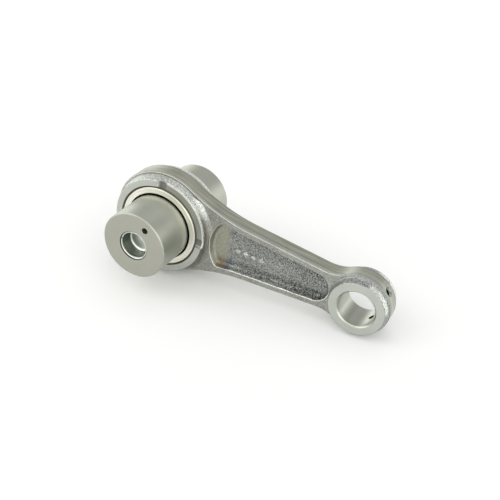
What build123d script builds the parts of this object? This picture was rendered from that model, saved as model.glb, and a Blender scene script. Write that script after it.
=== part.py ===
"""Connecting rod kit of a single-cylinder engine: H-section rod, crankpin and caged roller bearing.

Millimetres.  The origin is the centre of the big end: X runs along the rod to the small end,
Y is the crankpin axis, Z is up.  The rod is symmetrical about the plane Y = 0.
"""
from build123d import *
import os
from math import atan2, cos, radians, sin, tan

# ---------------------------------------------------------------- driving dimensions
centre_distance = 109.0

# rod forging: an H section with a round eye at each end
forging_half_width = 4.6
big_eye_radius = 28.2
small_eye_radius = 16.2
small_eye_setback = 0.7
shank_half_at_big_end = 19.3
shank_half_at_small_end = 10.05
big_eye_blend = 88.0
small_eye_blend = 16.0
forged_draft = 40.0
edge_break_big_eye = 0.6
edge_break_shank = 1.3
edge_break_small_eye = 0.5

# pockets on both sides of the web
flange_thickness = 4.1
web_half_thickness = 1.9
pocket_start = 27.4
pocket_end = 93.2
pocket_end_bow = 20.5
pocket_draft = 28.0
pocket_corner = 3.6
pocket_floor_fillet = 1.6
pocket_rim_break = 0.35

# big end
big_bore_radius = 21.5
big_half_width = 9.75
thrust_ring_radius = 25.7
thrust_ring_foot = 27.0
thrust_ring_chamfer = 0.3
thrust_ring_root = 3.0
thrust_root_trim = 1.6
big_bore_chamfer = 0.8

# oil relief milled into each thrust face
relief_depth = 0.8
relief_span = 90.0
scoop_radius = 4.5
scoop_depth = 1.3

# small end
small_bore_radius = 9.5
small_half_width = 8.45
small_ring_radius = 14.3
small_ring_foot = 15.0
small_ring_chamfer = 0.4
small_ring_root = 1.2
small_bore_chamfer = 0.6
oil_hole_radius = 1.5
oil_hole_mouth = 2.5
oil_hole_angles = (45.0, -45.0)

# raised die pips on the web
pip_count = 4
pip_size = 2.6
pip_height = 0.6
pip_start = 42.8
pip_pitch = 4.4

# crankpin
pin_radius = 17.5
pin_half_length = 32.0
pin_edge_chamfer = 0.6
track_half_length = 9.25
track_relief_width = 0.6
track_relief_depth = 0.22
pin_bore_radius = 7.5
pin_bore_chamfer = 0.3
oil_feed_offset = 12.5
oil_feed_angle = 63.0
oil_feed_radius = 1.6
oil_outlet_radius = 1.25

# cup plugs pressed into the ends of the crankpin
plug_length = 8.0
plug_wall = 0.6
plug_corner = 1.6
plug_setback = 0.15

# roller bearing
roller_count = 16
roller_clearance = 0.03
roller_length = 14.6
roller_edge = 0.3
cage_inner_radius = 18.35
cage_outer_radius = 21.35
cage_half_length = 9.65
cage_edge = 0.25
window_play = 0.1

# ---------------------------------------------------------------- worked out from them
roller_pitch_radius = (pin_radius + big_bore_radius) / 2
roller_radius = (big_bore_radius - pin_radius) / 2 - roller_clearance
roller_step = 360 / roller_count


def ring_profile(points):
    """Revolves a closed (radius, height) profile about Y."""
    return revolve(Plane.XY * make_face(Polyline(*points, close=True)), Axis.Y)


def mirrored(shape):
    """The shape and its mirror image on the other side of the plane Y = 0."""
    return shape + mirror(shape, about=Plane.XZ)


def rod_outline(big_trim, shank_trim, small_trim):
    """The rod's plan in XZ: two round eyes, a tapering shank, and a blend arc in each corner."""
    half_big = shank_half_at_big_end - shank_trim
    half_small = shank_half_at_small_end - shank_trim
    shank = make_face(Polyline(
        (0, half_big),
        (centre_distance, half_small),
        (centre_distance, -half_small),
        (0, -half_big),
        close=True,
    ))
    big_eye = Circle(big_eye_radius - big_trim)
    small_eye = Pos(centre_distance - small_eye_setback, 0) * Circle(small_eye_radius - small_trim)
    plan = shank + big_eye + small_eye
    plan = fillet([v for v in plan.vertices() if v.X < centre_distance / 2], big_eye_blend)
    return fillet([v for v in plan.vertices() if v.X > centre_distance * 0.8], small_eye_blend)


def slab(sketch, half_width):
    """A plan drawn in XZ, made solid to the same depth on both sides of Y = 0."""
    return extrude(Plane.XZ * sketch, half_width, both=True)


def forging():
    """The flanged blank: its edges are drafted as forged, and its plan is ground."""
    ground = slab(rod_outline(0, 0, 0), forging_half_width)
    widening = forging_half_width * tan(radians(forged_draft))
    parting_plan = rod_outline(
        edge_break_big_eye - widening, edge_break_shank - widening, edge_break_small_eye - widening)
    half = extrude(Plane.XZ * parting_plan, forging_half_width, taper=forged_draft)
    return ground & mirrored(half)


def eye_boss(half_width, ring_radius, chamfer, foot_radius, root=0.0):
    """A thrust ring on both sides, with a chamfered rim and a drafted wall.

    With a root radius it also has the hollow that runs out from the wall onto the forging's face.
    """
    face = forging_half_width
    reach = foot_radius + 2 * root
    profile = Plane.XY * make_face(Polyline(
        (0, 0),
        (0, half_width),
        (ring_radius - chamfer, half_width),
        (ring_radius, half_width - chamfer),
        (foot_radius, face),
        *([(reach, face)] if root else []),
        (reach, 0),
        close=True,
    ))
    if root:
        foot = profile.vertices().sort_by_distance(Vector(foot_radius, face, 0))[0]
        profile = fillet(foot, root)
    return mirrored(revolve(profile, Axis.Y))


def blank():
    """Forging and thrust rings, with the ring roots kept inside the forging's face."""
    big_ring = (big_half_width, thrust_ring_radius, thrust_ring_chamfer, thrust_ring_foot)
    small_ring = (small_half_width, small_ring_radius, small_ring_chamfer, small_ring_foot)
    small_end = Pos(centre_distance, 0, 0)
    rings = eye_boss(*big_ring) + small_end * eye_boss(*small_ring)
    roots = eye_boss(*big_ring, thrust_ring_root) + small_end * eye_boss(*small_ring, small_ring_root)
    face_plan = rod_outline(thrust_root_trim, edge_break_shank, edge_break_small_eye)
    return forging() + rings + (roots & slab(face_plan, big_half_width))


def bore_tool(radius, half_width, chamfer):
    """What a boring bar and a chamfer tool take out of an eye."""
    reach = chamfer + 1
    mouth = radius + reach
    return ring_profile([(0, -half_width - 1), (mouth, -half_width - 1), (radius, -half_width + chamfer),
                         (radius, half_width - chamfer), (mouth, half_width + 1), (0, half_width + 1)])


def pocket_plan(rim_break):
    """The pocket's plan: inside the flanges, bowed at the big end and round at the small end."""
    flange = flange_thickness - rim_break
    start = pocket_start - rim_break
    end = pocket_end + rim_break
    taper = atan2(shank_half_at_big_end - shank_half_at_small_end, centre_distance)
    end_radius = (shank_half_at_big_end * cos(taper) - flange - end * sin(taper)) / (1 - sin(taper))
    end_centre = end - end_radius
    tangent_point = end_centre + end_radius * sin(taper)
    bow_centre = start + pocket_end_bow
    inside_flanges = offset(rod_outline(0, 0, 0), -flange, kind=Kind.INTERSECTION)
    bow = Pos(bow_centre, 0) * Circle(pocket_end_bow)
    straight = Rectangle(tangent_point - bow_centre, 2 * big_eye_radius, align=(Align.MIN, Align.CENTER))
    plan = inside_flanges & (bow + Pos(bow_centre, 0) * straight)
    plan = fillet([v for v in plan.vertices() if v.X < bow_centre - pocket_end_bow / 2], pocket_corner)
    return plan + Pos(end_centre, 0) * Circle(end_radius)


def pocket_tool():
    """One pocket of the H section, on the -Y side, with drafted walls and a broken rim."""
    rim_plane = Plane.XZ.offset(forging_half_width)
    depth = forging_half_width - web_half_thickness
    hollow = extrude(rim_plane * pocket_plan(0), -depth, taper=pocket_draft)
    hollow = fillet(hollow.faces().sort_by(Axis.Y)[-1].edges(), pocket_floor_fillet)
    flare = extrude(rim_plane * pocket_plan(pocket_rim_break), -pocket_rim_break, taper=45)
    mouth = extrude(rim_plane * pocket_plan(pocket_rim_break), thrust_ring_root)
    return hollow + flare + mouth


def relief_tool():
    """The oil relief in the -Y thrust face: a flat quarter of the ring and a scoop at each end."""
    inner = CenterArc((0, 0), big_bore_radius - 1, 0, relief_span)
    outer = CenterArc((0, 0), thrust_ring_radius + 1, 0, relief_span)
    sides = [Line(inner @ 0, outer @ 0), Line(inner @ 1, outer @ 1)]
    tool = extrude(Plane.XZ.offset(big_half_width - relief_depth) * make_face([inner, outer, *sides]), 2)
    cutter = Pos(big_bore_radius + 2, 0, 0) * Rot(0, 90, 0) * Cylinder(scoop_radius, 8)
    cutter = Pos(0, scoop_depth - big_half_width - scoop_radius, 0) * cutter
    return tool + cutter + Rot(0, -relief_span, 0) * cutter


def die_pips():
    """A row of plain raised pips on the web, left by the forging die."""
    pip = extrude(Plane.XZ.offset(web_half_thickness - 0.2) * Rectangle(pip_size, pip_size, rotation=45),
                  pip_height + 0.2, taper=20)
    return Part() + [Pos(pip_start + k * pip_pitch, 0, 0) * pip for k in range(pip_count)]


def connecting_rod():
    small_end = Pos(centre_distance, 0, 0)
    rod = blank() - mirrored(pocket_tool()) + die_pips()
    rod -= bore_tool(big_bore_radius, big_half_width, big_bore_chamfer)
    rod -= small_end * bore_tool(small_bore_radius, small_half_width, small_bore_chamfer)
    rod -= mirrored(relief_tool())
    upward = (Align.CENTER, Align.CENTER, Align.MIN)
    drill = Cylinder(oil_hole_radius, 2 * small_eye_radius, align=upward)
    mouth_depth = oil_hole_mouth - oil_hole_radius
    funnel = Cone(oil_hole_radius - 1, oil_hole_mouth + 1, mouth_depth + 2, align=upward)
    drill += Pos(0, 0, small_eye_radius - small_eye_setback - mouth_depth - 1) * funnel
    for angle in oil_hole_angles:
        rod -= small_end * Rot(0, 90 - angle, 0) * drill
    return rod


def crankpin():
    """A ground hollow pin; a grinding relief parts its roller track from each pressed end."""
    half = pin_half_length
    edge = pin_edge_chamfer
    mouth = pin_bore_radius + pin_bore_chamfer
    pin = ring_profile([(pin_bore_radius, pin_bore_chamfer - half), (mouth, -half),
                        (pin_radius - edge, -half), (pin_radius, edge - half),
                        (pin_radius, half - edge), (pin_radius - edge, half),
                        (mouth, half), (pin_bore_radius, half - pin_bore_chamfer)])
    core = pin_radius - track_relief_depth
    relief = ring_profile([(core, track_half_length), (pin_radius + 1, track_half_length),
                           (pin_radius + 1, track_half_length + track_relief_width),
                           (core, track_half_length + track_relief_width)])
    pin -= mirrored(relief)
    feed = Cylinder(oil_feed_radius, half, align=(Align.CENTER, Align.CENTER, Align.MIN))
    outlet = Cylinder(oil_outlet_radius, pin_radius + 1, align=(Align.CENTER, Align.CENTER, Align.MIN))
    passages = Pos(oil_feed_offset, 0, 0) * Rot(90, 0, 0) * feed + Rot(0, 90, 0) * outlet
    return pin - Rot(0, -oil_feed_angle, 0) * passages


def cup_plug():
    """A pressed steel cup that opens towards -Y, at the crankpin's -Y end."""
    mouth = plug_setback - pin_half_length
    base = mouth + plug_length
    inner_radius = pin_bore_radius - plug_wall
    walls = Polyline((inner_radius, base - plug_wall - plug_corner), (inner_radius, mouth),
                     (pin_bore_radius, mouth), (pin_bore_radius, base - plug_corner))
    outer_corner = RadiusArc((pin_bore_radius, base - plug_corner),
                             (pin_bore_radius - plug_corner, base), -plug_corner)
    floor = Polyline((pin_bore_radius - plug_corner, base), (0, base), (0, base - plug_wall),
                     (inner_radius - plug_corner, base - plug_wall))
    inner_corner = RadiusArc((inner_radius - plug_corner, base - plug_wall),
                             (inner_radius, base - plug_wall - plug_corner), plug_corner)
    return revolve(make_face([walls, outer_corner, floor, inner_corner]), Axis.Y)


def bearing_cage():
    edge = cage_edge
    half = cage_half_length
    cage = ring_profile([(cage_inner_radius, -half), (cage_outer_radius - edge, -half),
                         (cage_outer_radius, edge - half), (cage_outer_radius, half - edge),
                         (cage_outer_radius - edge, half), (cage_inner_radius, half)])
    width = 2 * (roller_radius + window_play)
    window = Pos(roller_pitch_radius, 0, 0) * Box(8, roller_length + 2 * window_play, width)
    for k in range(roller_count):
        cage -= Rot(0, -k * roller_step, 0) * window
    return cage


def roller(angle):
    half = roller_length / 2
    edge = roller_edge
    body = ring_profile([(0, -half), (roller_radius - edge, -half), (roller_radius, edge - half),
                         (roller_radius, half - edge), (roller_radius - edge, half), (0, half)])
    return Rot(0, -angle, 0) * Pos(roller_pitch_radius, 0, 0) * body


plug = cup_plug()
parts = {
    "connecting_rod": connecting_rod(),
    "crankpin": crankpin(),
    "front_cup_plug": plug,
    "rear_cup_plug": mirror(plug, about=Plane.XZ),
    "bearing_cage": bearing_cage(),
}
for k in range(roller_count):
    parts[f"roller_{k + 1:02d}"] = roller(k * roller_step)

os.makedirs("parts", exist_ok=True)
for node, solid in parts.items():
    export_step(solid, f"parts/{node}.step")
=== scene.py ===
"""Connecting rod kit of a single-cylinder engine: H-section rod, crankpin and caged roller bearing.

Metres, in the CAD frame: the origin is the centre of the big end, X runs to the small end, Y is the
crankpin axis and Z is up.  Finishes work in millimetres, because that is how their grain is known.
"""
from math import asin, cos, radians, sin

import bmesh
import bpy
from mathutils import Matrix, Vector


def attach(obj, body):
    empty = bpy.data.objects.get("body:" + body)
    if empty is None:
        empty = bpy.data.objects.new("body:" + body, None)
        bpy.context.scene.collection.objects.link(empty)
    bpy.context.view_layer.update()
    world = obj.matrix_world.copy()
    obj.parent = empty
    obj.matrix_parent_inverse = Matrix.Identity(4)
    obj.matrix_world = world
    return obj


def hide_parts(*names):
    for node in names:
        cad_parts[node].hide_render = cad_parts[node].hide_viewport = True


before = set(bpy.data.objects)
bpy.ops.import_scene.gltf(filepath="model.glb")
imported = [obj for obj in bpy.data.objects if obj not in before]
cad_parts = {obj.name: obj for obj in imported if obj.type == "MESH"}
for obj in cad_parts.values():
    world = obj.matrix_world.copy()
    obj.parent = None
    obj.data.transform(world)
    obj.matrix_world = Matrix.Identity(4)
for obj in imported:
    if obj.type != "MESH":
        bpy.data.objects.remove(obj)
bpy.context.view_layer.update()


# ------------------------------------------------------------------------------ rod forging
# The rod is a steel drop forging.  The dies leave its thrust rings, flanges and pockets, which are
# shot-peened all over.  The plan is then ground along its edge, and both eyes are bored and faced.

class Wire:
    """One output of a finish's node, with arithmetic written as plain expressions."""

    def __init__(self, finish, socket):
        self.finish, self.socket = finish, socket

    def maths(self, operation, *others):
        values = {i: v for i, v in enumerate((self, *others))}
        return self.finish.add("Math", {"operation": operation}, values)

    def __add__(self, other):
        return self.maths("ADD", other)

    def __sub__(self, other):
        return self.maths("SUBTRACT", other)

    def __rsub__(self, other):
        return self.finish.add("Math", {"operation": "SUBTRACT"}, {0: other, 1: self})

    def __mul__(self, other):
        return self.maths("MULTIPLY", other)

    def __pow__(self, other):
        return self.maths("POWER", other)

    def __abs__(self):
        return self.maths("ABSOLUTE")

    __radd__, __rmul__ = __add__, __mul__

    def over(self, low, high):
        """0 below low, 1 above high, and an even, soft step between; low may be above high."""
        return self.finish.add("MapRange", {"interpolation_type": "SMOOTHSTEP"},
                               {"Value": self, "From Min": low, "From Max": high})

    def between(self, low, high, soft):
        """1 inside a stretch of values, with soft ends outside it."""
        return self.over(low - soft, low) * self.over(high + soft, high)


class Nodes:
    """A node tree and the means to add nodes to it."""

    def __init__(self, tree):
        self.tree = tree

    def add(self, kind, settings=None, values=None, out=0):
        node = self.tree.nodes.new("ShaderNode" + kind)
        for name, value in (settings or {}).items():
            setattr(node, name, value)
        self.feed(node, values or {})
        return Wire(self, node.outputs[out])

    def feed(self, node, values):
        for key, value in values.items():
            if isinstance(value, Wire):
                self.tree.links.new(value.socket, node.inputs[key])
            else:
                node.inputs[key].default_value = value

    def parts(self, vector):
        return [self.add("SeparateXYZ", values={0: vector}, out=axis) for axis in "XYZ"]


class Finish(Nodes):
    """A metal finish: a Principled material whose grain is laid out in millimetres."""

    def __init__(self, name, metallic=1.0):
        self.material = bpy.data.materials.new(name)
        self.material.use_nodes = True
        super().__init__(self.material.node_tree)
        self.shader = self.tree.nodes["Principled BSDF"]
        self.shader.inputs["Metallic"].default_value = metallic

    def place(self):
        """The point in millimetres on the piece, as (vector, x, y, z)."""
        metres = self.add("TexCoord", out="Object")
        vector = self.add("VectorMath", {"operation": "SCALE"}, {0: metres, "Scale": 1000})
        return vector, *self.parts(vector)

    def radius(self, x, z, centre=0.0):
        """Distance in millimetres from an axis that runs along Y."""
        return ((x - centre) * (x - centre) + z * z) ** 0.5

    def grain(self, vector, scale, stretch=(1, 1, 1), detail=3.0, roughness=0.55):
        """Noise of about 0 to 1, scale to the millimetre.

        A small stretch draws it out along that axis.
        """
        drawn = self.add("VectorMath", {"operation": "MULTIPLY"}, {0: vector, 1: stretch})
        return self.add("TexNoise", values={
            "Vector": drawn, "Scale": scale, "Detail": detail, "Roughness": roughness})

    def lines(self, distance, scale, detail=4.0):
        """Tool marks that change only with one distance."""
        return self.add("TexNoise", {"noise_dimensions": "1D"}, {
            "W": distance, "Scale": scale, "Detail": detail, "Roughness": 0.6})

    def blend(self, share, first, second):
        """A colour from first to second."""
        return self.add("Mix", {"data_type": "RGBA"}, {0: share, 6: first, 7: second}, out=2)

    def shade(self, colour, amount):
        """A colour made lighter or darker by a number."""
        return self.add("VectorMath", {"operation": "SCALE"}, {0: colour, "Scale": amount})

    def surface(self, colour, roughness, height, depth_mm):
        bump = self.add("Bump", values={"Height": height, "Distance": depth_mm / 1000})
        self.feed(self.shader, {"Base Color": colour, "Roughness": roughness, "Normal": bump})

    def cover(self, *pieces):
        """Gives the finish to whole pieces."""
        for piece in pieces:
            piece.data.materials.clear()
            piece.data.materials.append(self.material)


def steel(red, green, blue):
    return (red, green, blue, 1.0)


centre_distance = 109.0
flange_half_width = 4.6
big_half_width = 9.75
big_mouth_radius = 22.3
thrust_ring_radius = 25.7
relief_floor = 8.95
scoop_floor = 8.45
small_half_width = 8.45
small_mouth_radius = 10.1
small_ring_radius = 14.3
pocket_start = 26.4
pocket_end = 93.8
pocket_half_at_crank = 15.6
pocket_taper = 0.0845
oil_hole_angle = radians(45)
oil_hole_square = 2.35
root_reach = 31.5

forged = Finish("peened_and_ground_steel")
point, x, y, z = forged.place()
depth = abs(y)
height = abs(z)
crank_r = forged.radius(x, z)
gudgeon_r = forged.radius(x, z, centre_distance)
normal = forged.add("TexCoord", out="Normal")
facing = abs(forged.parts(normal)[1])

# Each mask is 1 on one zone of the forging and 0 elsewhere.
pocket_half_height = pocket_half_at_crank - x * pocket_taper
off_hole_axis = (height - (x - centre_distance)) * cos(oil_hole_angle)
off_hole_square = y * y + off_hole_axis * off_hole_axis
in_oil_hole = off_hole_square.over(oil_hole_square + 0.15, oil_hole_square - 0.15)
in_oil_hole = in_oil_hole * gudgeon_r.over(small_mouth_radius - 0.55, small_mouth_radius - 0.45)
in_pocket = (pocket_half_height - height).over(0.0, 0.15) * x.between(pocket_start, pocket_end, 0.1)
in_pocket = in_pocket * depth.over(flange_half_width - 0.1, flange_half_width - 0.2)
in_big_bore = crank_r.over(big_mouth_radius + 0.1, big_mouth_radius - 0.1)
in_small_bore = gudgeon_r.over(small_mouth_radius + 0.2, small_mouth_radius + 0.05)
bored = in_small_bore + in_big_bore
thrust_face = depth.over(big_half_width - 0.13, big_half_width - 0.05)
thrust_face = thrust_face * crank_r.over(thrust_ring_radius - 0.1, thrust_ring_radius - 0.2)
inside_ring = crank_r.over(thrust_ring_radius + 0.05, thrust_ring_radius)
relief = depth.between(scoop_floor - 0.25, relief_floor + 0.25, 0.05) * inside_ring
scoop = depth.between(scoop_floor - 0.25, relief_floor - 0.1, 0.03) * inside_ring
# Where a painted highlight lies on one side of the relief's rim.
relief_rim_highlight = depth.between(scoop_floor - 0.15, relief_floor + 0.35, 0.05)
relief_rim_highlight = relief_rim_highlight * crank_r.between(thrust_ring_radius - 0.5, thrust_ring_radius + 0.3, 0.1)
relief_rim_highlight = relief_rim_highlight * x.over(1.0, 3.0) * z.over(-3.5, -2.5)
annulus = depth.over(small_half_width - 0.15, small_half_width - 0.05)
annulus = annulus * gudgeon_r.over(small_ring_radius - 0.2, small_ring_radius - 0.3)
outside = 1 - in_pocket
eye_skin = x.over(90.0, 106.0) * depth.over(1.4, 3.8) * outside
eye_skin = eye_skin * gudgeon_r.over(small_ring_radius - 0.2, small_ring_radius + 0.1)
edge_band = facing.over(0.45, 0.25) * depth.over(flange_half_width - 0.05, flange_half_width - 0.15)
edge_band = edge_band * outside * (1 - eye_skin) * (1 - bored)
shoulder = facing.between(0.45, 0.85, 0.1) * outside
shoulder = shoulder * depth.over(flange_half_width, flange_half_width - 0.1)
flange_top = depth.between(flange_half_width - 0.04, flange_half_width + 0.05, 0.02)
flange_top = flange_top * facing.over(0.85, 0.95)
# Where a painted highlight runs along the crests of the flanges.
crest_highlight = depth.between(flange_half_width - 0.3, flange_half_width - 0.08, 0.04)
crest_highlight = crest_highlight * (1 - in_small_bore) * (1 - eye_skin)
# Where a painted highlight lies beside the small ring, on its upper side.
painted_glint = (x - centre_distance + z).over(15.5, 18.5) * depth.over(5.0, 6.0)
painted_glint = painted_glint * gudgeon_r.between(small_ring_radius + 0.15, small_ring_radius + 0.7, 0.3)
on_pip = depth.over(2.0, 2.15) * height.over(2.1, 1.9) * x.between(40.9, 57.9, 0.1) * in_pocket
ring_wall = depth.over(flange_half_width + 0.05, flange_half_width + 0.3)
ring_wall = ring_wall * (1 - thrust_face) * (1 - annulus) * (1 - relief)
big_root = ring_wall * crank_r.over(root_reach + 0.5, root_reach - 0.5)
machined = (thrust_face + annulus + bored).over(0.0, 1.0)

# Grain of the peened skin, and the marks of grinding, facing and boring.
peened = forged.grain(point, 1.0, detail=4.0, roughness=0.7)
speckle = forged.grain(point, 2.0, detail=2.0, roughness=0.6)
cloud = forged.grain(point, 0.09, detail=2.0)
drawn_lines = forged.grain(point, 1.0, stretch=(0.04, 1.6, 0.04), detail=3.0, roughness=0.7)
flange_lines = forged.grain(point, 1.0, stretch=(0.06, 2.0, 3.0), detail=3.0)
draft_lines = forged.lines(depth, 3.4, detail=2.0)
crank_rings = forged.lines(crank_r, 7.0)
gudgeon_rings = forged.lines(gudgeon_r, 7.0)

# Colours of the zones.  A few of them are painted highlight or painted shade, as noted where they are laid
# on.
satin = steel(0.34, 0.345, 0.31)
band_steel = steel(0.38, 0.385, 0.32)
draft_steel = steel(0.28, 0.285, 0.255)
highlight_and_burnished_steel = steel(0.80, 0.81, 0.76)
peened_steel_lit_top = steel(0.54, 0.555, 0.525)
small_root_steel = steel(0.335, 0.35, 0.335)
root_dark_steel = steel(0.265, 0.26, 0.23)
pocket_dark = steel(0.27, 0.28, 0.265)
pocket_olive = steel(0.33, 0.33, 0.27)
heat_brown = steel(0.19, 0.155, 0.105)
heat_blue = steel(0.145, 0.165, 0.20)
faced = steel(0.475, 0.495, 0.45)
milled = steel(0.35, 0.355, 0.33)
bore_steel = steel(0.46, 0.475, 0.42)
scoop_painted_shade = steel(0.20, 0.205, 0.19)
oil_hole_painted_shade = steel(0.05, 0.05, 0.045)
big_bore_painted_shade = steel(0.15, 0.148, 0.125)

# Stains of the pocket: smooth and heat-tinted near the big end.  The dark band along its lower side is a
# painted reflection.
smooth_end = (x + peened * 5.0).over(42.0, 37.5)
pocket_floor = forged.blend(smooth_end, pocket_dark, pocket_olive)
stain_edge = x + (cloud - 0.5) * 5.0 + (peened - 0.5) * 7.0
brown = stain_edge.between(32.5, 37.0, 3.5) * z.between(-14.0, -10.0, 3.5)
blue_spots = z.between(-12.0, -8.5, 2.5) + z.between(8.0, 12.0, 2.5) * 0.6
blue = stain_edge.between(38.0, 39.5, 1.5) * blue_spots
pocket_floor = forged.blend(brown * 0.75, pocket_floor, heat_brown)
pocket_floor = forged.blend(blue * 0.7, pocket_floor, heat_blue)
# Painted reflection: the floor is darkened in a band above its lower wall.
band_middle = x * 0.0615 - 10.8
dark_band_painted_reflection = (z - band_middle).between(-1.4, 0.8, 1.8) * in_pocket
dark_band_painted_reflection = dark_band_painted_reflection * (x + peened * 8.0).over(42.0, 56.0)

# The zones are laid over each other, and a later one covers an earlier one.
# The root is darker and browner on the shank side below about z = 10 mm.
root_dark_patch = big_root * x.over(14.0, 20.0) * z.over(17.0, 10.0)
# Painted light: the root is lighter on its upper side.
root = forged.blend(z.over(-4.0, 6.0), small_root_steel, peened_steel_lit_top)
root = forged.blend(root_dark_patch * 0.9, root, root_dark_steel)
root = forged.blend(gudgeon_r.over(20.0, 18.0), root, small_root_steel)
colour = forged.blend(edge_band, satin, band_steel)
colour = forged.blend(shoulder, colour, draft_steel)
colour = forged.blend(ring_wall, colour, root)
colour = forged.blend(eye_skin, colour, small_root_steel)
colour = forged.blend(in_pocket, colour, pocket_floor)
colour = forged.blend(relief, colour, milled)
# Painted shade in the deepest part of the relief.
colour = forged.blend(scoop, colour, scoop_painted_shade)
# Painted highlight on one side of the relief's rim.
colour = forged.blend(relief_rim_highlight, colour, highlight_and_burnished_steel)
colour = forged.blend(thrust_face, colour, faced)
colour = forged.blend(annulus, colour, faced)
# Painted highlight along the crests of the flanges.
colour = forged.blend(crest_highlight * (0.75 + (peened - 0.5) * 0.8), colour, highlight_and_burnished_steel)
colour = forged.blend(in_small_bore, colour, bore_steel)
# Painted shade in the mouth of the big-end bore.
colour = forged.blend(in_big_bore, colour, big_bore_painted_shade)
# Painted highlight beside the small ring.
colour = forged.blend(painted_glint * 0.85, colour, highlight_and_burnished_steel)
colour = forged.blend(on_pip * 0.5, colour, highlight_and_burnished_steel)
# Painted shade inside the oil hole.
colour = forged.blend(in_oil_hole, colour, oil_hole_painted_shade)
skin = in_pocket * (1 - smooth_end * 0.75) + ring_wall * 0.55 + flange_top * 0.35 + eye_skin * 0.35
mottle = (peened - 0.5) * (0.3 + skin * 2.0) + (speckle - 0.5) * (0.15 + skin * 3.4)
mottle = mottle * (1 - machined)
streaks = (drawn_lines - 0.5) * edge_band * 2.1 + (draft_lines - 0.5) * shoulder * 2.6
streaks = streaks + (flange_lines - 0.5) * flange_top * 0.35
draft_edge = depth.between(2.95, 3.1, 0.14) * x.between(24.0, 96.0, 6.0) * outside
turned = (crank_rings - 0.5) * thrust_face * 0.2 + (gudgeon_rings - 0.5) * annulus * 0.16
upper_shade = z.over(1.0, 9.0) * x.over(38.0, 50.0) * 0.192
end_shade = x.over(62.0, 90.0) * 0.168
tone = 1.0 + mottle + streaks + turned + (cloud - 0.5) * 0.25 - draft_edge * 0.45 - dark_band_painted_reflection * 0.36
tone = tone - (upper_shade + end_shade) * in_pocket - flange_top * 0.06
tone = tone + edge_band * x.over(88.0, 104.0) * 0.25
colour = forged.shade(colour, tone)
roughness = 0.42 + skin * 0.06 - edge_band * 0.03 - in_small_bore * 0.12 - thrust_face * 0.04
roughness = roughness - crest_highlight * 0.12 + (peened - 0.5) * 0.15 * (1 - machined)
relief_map = peened * (0.2 + skin * 1.8) + speckle * skin * 0.9 + drawn_lines * edge_band * 0.4
relief_map = (relief_map + draft_lines * shoulder * 1.2) * (1 - machined)
relief_map = relief_map + (crank_rings * thrust_face + gudgeon_rings * annulus) * 0.1
forged.surface(colour, roughness, relief_map, 0.12)
forged.cover(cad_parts["connecting_rod"])

# ------------------------------------------------------------------------------ rollers
# Sixteen rollers of through-hardened bearing steel, superfinished to a mirror.  They run between the
# crankpin and the bored big end, one in each window of the cage.

roller_count = 16

superfinished = Finish("superfinished_steel")
point, x, y, z = superfinished.place()
fine = superfinished.grain(point, 4.0, stretch=(1, 0.3, 1))
laps = superfinished.lines(y, 6.0)
colour = superfinished.blend(fine, steel(0.22, 0.22, 0.20), steel(0.30, 0.30, 0.28))
superfinished.surface(superfinished.shade(colour, 0.9 + laps * 0.2), 0.14 + fine * 0.1, laps, 0.01)
superfinished.cover(*(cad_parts[f"roller_{k + 1:02d}"] for k in range(roller_count)))

# ------------------------------------------------------------------------------ bearing cage
# The cage is turned from a steel tube, its windows are milled through, and it is silver plated, which
# gives it a soft cream colour.  It is guided by the bore of the big end.

cage_bore_radius = 18.35

silver = Finish("silver_plate")
point, x, y, z = silver.place()
ring_r = silver.radius(x, z)
turning = silver.lines(ring_r, 4.0)
tarnish = silver.grain(point, 0.5)
turned_line = ring_r.between(19.95, 20.15, 0.12)
colour = silver.blend(tarnish, steel(0.90, 0.89, 0.80), steel(0.80, 0.79, 0.68))
colour = silver.shade(colour, 0.97 + (turning - 0.5) * 0.14 - turned_line * 0.16)
# Painted shade: the cage's bore is made near black where it closes over the crankpin.
gap_painted_shade = steel(0.03, 0.03, 0.025)
cage_bore_shade = ring_r.over(cage_bore_radius + 0.15, cage_bore_radius + 0.05)
colour = silver.blend(cage_bore_shade, colour, gap_painted_shade)
silver.surface(colour, 0.33 + tarnish * 0.1, turning, 0.03)
silver.cover(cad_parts["bearing_cage"])

# ------------------------------------------------------------------------------ crankpin
# The pin is case-hardened steel, ground on its cylinder and faced at both ends.  An oil feed enters
# one end face and leaves in the middle of the roller track.

pin_half_length = 32.0
pin_radius = 17.5
pin_bore_radius = 7.5
track_end = 9.7

ground = Finish("ground_steel")
point, x, y, z = ground.place()
pin_r = ground.radius(x, z)
end_face = abs(y).over(pin_half_length - 0.1, pin_half_length - 0.05)
grinding = ground.lines(y, 5.0)
facing_rings = ground.lines(pin_r, 5.0)
frosting = ground.grain(point, 2.2, detail=4.0)
patches = ground.grain(point, 0.12)
colour = ground.blend(end_face, steel(0.46, 0.475, 0.415), steel(0.385, 0.39, 0.335))
# Painted shade: the roller track under the cage and the mouth of the pin's bore are made near black.
track_shade = abs(y).over(track_end + 0.1, track_end - 0.1)
rim = pin_r.between(pin_radius - 0.6, pin_radius - 0.05, 0.05)
rim = rim * abs(y).over(pin_half_length - 0.7, pin_half_length - 0.5)
bore_mouth_shade = pin_r.over(pin_bore_radius + 0.45, pin_bore_radius + 0.3)
marks = (grinding - 0.5) * (1 - end_face) * 0.14 + (facing_rings - 0.5) * end_face * 0.06
tone = 1.0 + marks + (frosting - 0.5) * 0.08 + (patches - 0.5) * 0.12 - rim * 0.15
colour = ground.shade(colour, tone)
colour = ground.blend((track_shade + bore_mouth_shade).over(0.0, 1.0), colour, gap_painted_shade)
roughness = 0.42 + end_face * 0.06 + (frosting - 0.5) * 0.08
ground.surface(colour, roughness, frosting * 0.4 + grinding * 0.6, 0.02)
ground.cover(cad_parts["crankpin"])

# ------------------------------------------------------------------------------ cup plugs
# Each plug is a cup drawn from thin bright steel sheet.  It is pressed into an end of the pin's bore,
# to close the oil space, and its lip stands just under the end face.

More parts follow.
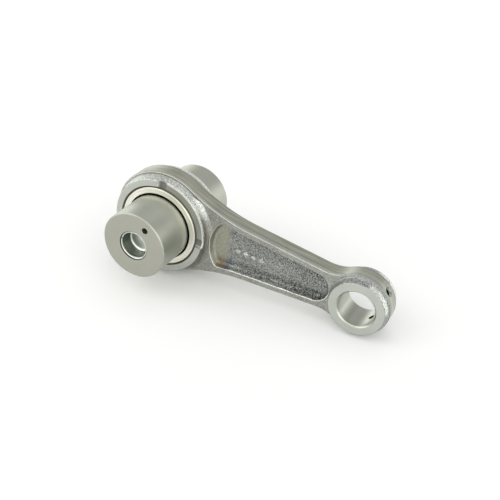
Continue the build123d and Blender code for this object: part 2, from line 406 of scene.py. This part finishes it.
cup_radius = 7.5
cup_wall = 0.6
cup_depth = 8.0
cup_corner = 1.6
lip_round = 0.3
cup_setback = 0.15
stake_angles = (171.0, -40.0)
stake_half_angle = 5.0
stake_depth = 0.45
lathe_steps = 144


def arc(centre_r, centre_y, radius, start, stop, steps):
    """Points of (radius, height) round a corner, angles in degrees from outward towards the base."""
    angles = [radians(start + (stop - start) * k / steps) for k in range(steps + 1)]
    return [(centre_r + radius * cos(a), centre_y + radius * sin(a)) for a in angles]


def cup_profile():
    """The cup's section from the middle of its floor inside, over the lip, to the middle outside."""
    inner = cup_radius - cup_wall
    floor = cup_depth - cup_wall
    return [
        (0.0, floor),
        *arc(inner - cup_corner, floor - cup_corner, cup_corner, 90, 0, 8),
        *[(inner, floor - cup_corner - k) for k in (1.4, 2.8, 4.2)],
        *arc(cup_radius - lip_round, lip_round, lip_round, -180, -360, 8),
        *arc(cup_radius - cup_corner, cup_depth - cup_corner, cup_corner, 0, 90, 8),
        (0.0, cup_depth),
    ]


def stake_dent(angle, height):
    """How far a staking punch has pushed the lip in, at one angle and depth below the mouth."""
    away = min(abs((angle - stake + 180) % 360 - 180) for stake in stake_angles)
    return stake_depth * max(0.0, 1 - away / stake_half_angle) * max(0.0, 1 - height / 1.5)


def lathe_cup(name, side):
    """Turns the cup's section round the pin's axis; side is -1 for the front plug, 1 for the rear."""
    shell = bmesh.new()
    rings = []
    for r, height in cup_profile():
        spots = lathe_steps if r > 0 else 1
        ring = []
        for k in range(spots):
            angle = 360 * k / lathe_steps
            drop = cup_setback + height + stake_dent(angle, height) * (r > 0)
            across, up = r * cos(radians(angle)), r * sin(radians(angle))
            spot = Vector((across, side * (pin_half_length - drop), up))
            ring.append(shell.verts.new(spot / 1000))
        rings.append(ring)
    for one, two in zip(rings, rings[1:]):
        for k in range(lathe_steps):
            after = (k + 1) % lathe_steps
            near = [one[k % len(one)], one[after % len(one)]]
            far = [two[after % len(two)], two[k % len(two)]]
            shell.faces.new(list(dict.fromkeys(near + far)))
    bmesh.ops.recalc_face_normals(shell, faces=shell.faces)
    mesh = bpy.data.meshes.new(name)
    shell.to_mesh(mesh)
    shell.free()
    mesh.shade_smooth()
    piece = bpy.data.objects.new(name, mesh)
    bpy.context.scene.collection.objects.link(piece)
    return piece


bright = Finish("bright_drawn_steel")
point, x, y, z = bright.place()
plug_r = bright.radius(x, z)
draw_lines = bright.grain(point, 1.0, stretch=(1.5, 0.1, 1.5))
colour = bright.blend(draw_lines, steel(0.50, 0.54, 0.48), steel(0.42, 0.46, 0.40))
reach = pin_half_length - abs(y)
lip = reach.over(cup_setback + 0.75, cup_setback + 0.45)
# Painted shade on the wall's -X side and painted light on the floor's +X side.
wall_shade = plug_r.over(6.2, 6.7) * (1 - lip) * x.over(5.0, -3.0)
colour = bright.shade(colour, 1.2 + (draw_lines - 0.5) * 0.2 - wall_shade * 0.95)
floor_light = reach.over(5.6, 6.4) * x.over(-5.0, 2.0)
colour = bright.blend(floor_light, colour, steel(0.96, 1.0, 0.92))
colour = bright.blend(lip, colour, steel(0.80, 0.83, 0.78))
bright.surface(colour, 0.24 + draw_lines * 0.12, draw_lines, 0.006)
cups = (("front_drawn_cup", "front_cup_plug", -1), ("rear_drawn_cup", "rear_cup_plug", 1))
for name, node, side in cups:
    cup = lathe_cup(name, side)
    bright.cover(cup)
    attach(cup, "crankpin_body")
    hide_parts(node)

# A pale studio lights it from all round, brightest from the front and the horizon, with one weak
# softbox behind and above.

big_eye_radius = 0.0282
small_eye_radius = 0.0162
small_eye_centre = 0.1083
table_half = 1.5

lean = asin((big_eye_radius - small_eye_radius) / small_eye_centre)
table_up = Vector((-sin(lean), 0, cos(lean)))
corners = [(-table_half, -table_half, 0), (table_half, -table_half, 0),
           (table_half, table_half, 0), (-table_half, table_half, 0)]
table_mesh = bpy.data.meshes.new("table_top")
table_mesh.from_pydata(corners, [], [(0, 1, 2, 3)])
table = bpy.data.objects.new("table_top", table_mesh)
bpy.context.scene.collection.objects.link(table)
table.rotation_euler = (0, -lean, 0)
table.location = table_up * -(big_eye_radius + 0.00005)
pale = Finish("pale_table", metallic=0.0)
point, x, y, z = pale.place()
dust = pale.grain(point, 0.4)
colour = pale.blend(dust, steel(0.93, 0.93, 0.93), steel(0.91, 0.91, 0.91))
pale.surface(colour, 0.7 + dust * 0.1, dust, 0.01)
pale.cover(table)


def soft_light(name, position, target, size, power):
    lamp = bpy.data.lights.new(name, "AREA")
    lamp.shape = "RECTANGLE"
    lamp.size, lamp.size_y = size
    lamp.energy = power
    holder = bpy.data.objects.new(name, lamp)
    holder.location = position
    holder.rotation_euler = (Vector(target) - Vector(position)).to_track_quat("-Z", "Y").to_euler()
    bpy.context.scene.collection.objects.link(holder)


soft_light("back_softbox", (0.0, 0.45, 0.78), (0.05, 0.0, 0.0), (0.6, 0.6), 0.4)

world = bpy.data.worlds.new("studio")
world.use_nodes = True
bpy.context.scene.world = world
studio = Nodes(world.node_tree)
sky_x, sky_y, sky_z = studio.parts(studio.add("TexCoord", out="Generated"))
horizon = sky_z.over(0.35, 0.05)
walls = sky_z.over(0.05, 0.35) * sky_z.over(0.9, 0.7)
ceiling = sky_z.over(0.7, 0.9)
front_wall = sky_y.over(0.1, -0.4) * 1.6
back_wall = sky_y.over(-0.1, 0.4) * 0.45
side_walls = sky_x.over(-0.3, -0.8) * 0.55 + sky_x.over(0.3, 0.8) * 0.75
strength = horizon * 1.9 + ceiling * 0.86 + walls * (front_wall + back_wall + side_walls)
backdrop = world.node_tree.nodes["Background"]
studio.feed(backdrop, {"Color": (1.0, 1.0, 0.985, 1.0), "Strength": strength})

aim = Vector((0.04795, 0.0, 0.00177))
camera_azimuth = radians(21.346)
camera_elevation = radians(34.48)
camera_roll = radians(10.58)
camera_distance = 0.38779
focal_length_mm = 55.945

away = Vector((sin(camera_azimuth) * cos(camera_elevation),
               -cos(camera_azimuth) * cos(camera_elevation), sin(camera_elevation)))
camera_data = bpy.data.cameras.new("camera")
camera_data.sensor_width = 36.0
camera_data.lens = focal_length_mm
camera_data.clip_start = 0.01
camera = bpy.data.objects.new("camera", camera_data)
upright = away.to_track_quat("Z", "Y").to_matrix().to_4x4()
camera.matrix_world = Matrix.Translation(aim + away * camera_distance) @ upright @ Matrix.Rotation(
    camera_roll, 4, "Z")
bpy.context.scene.collection.objects.link(camera)
bpy.context.scene.camera = camera
bpy.context.scene.view_settings.view_transform = "Standard"
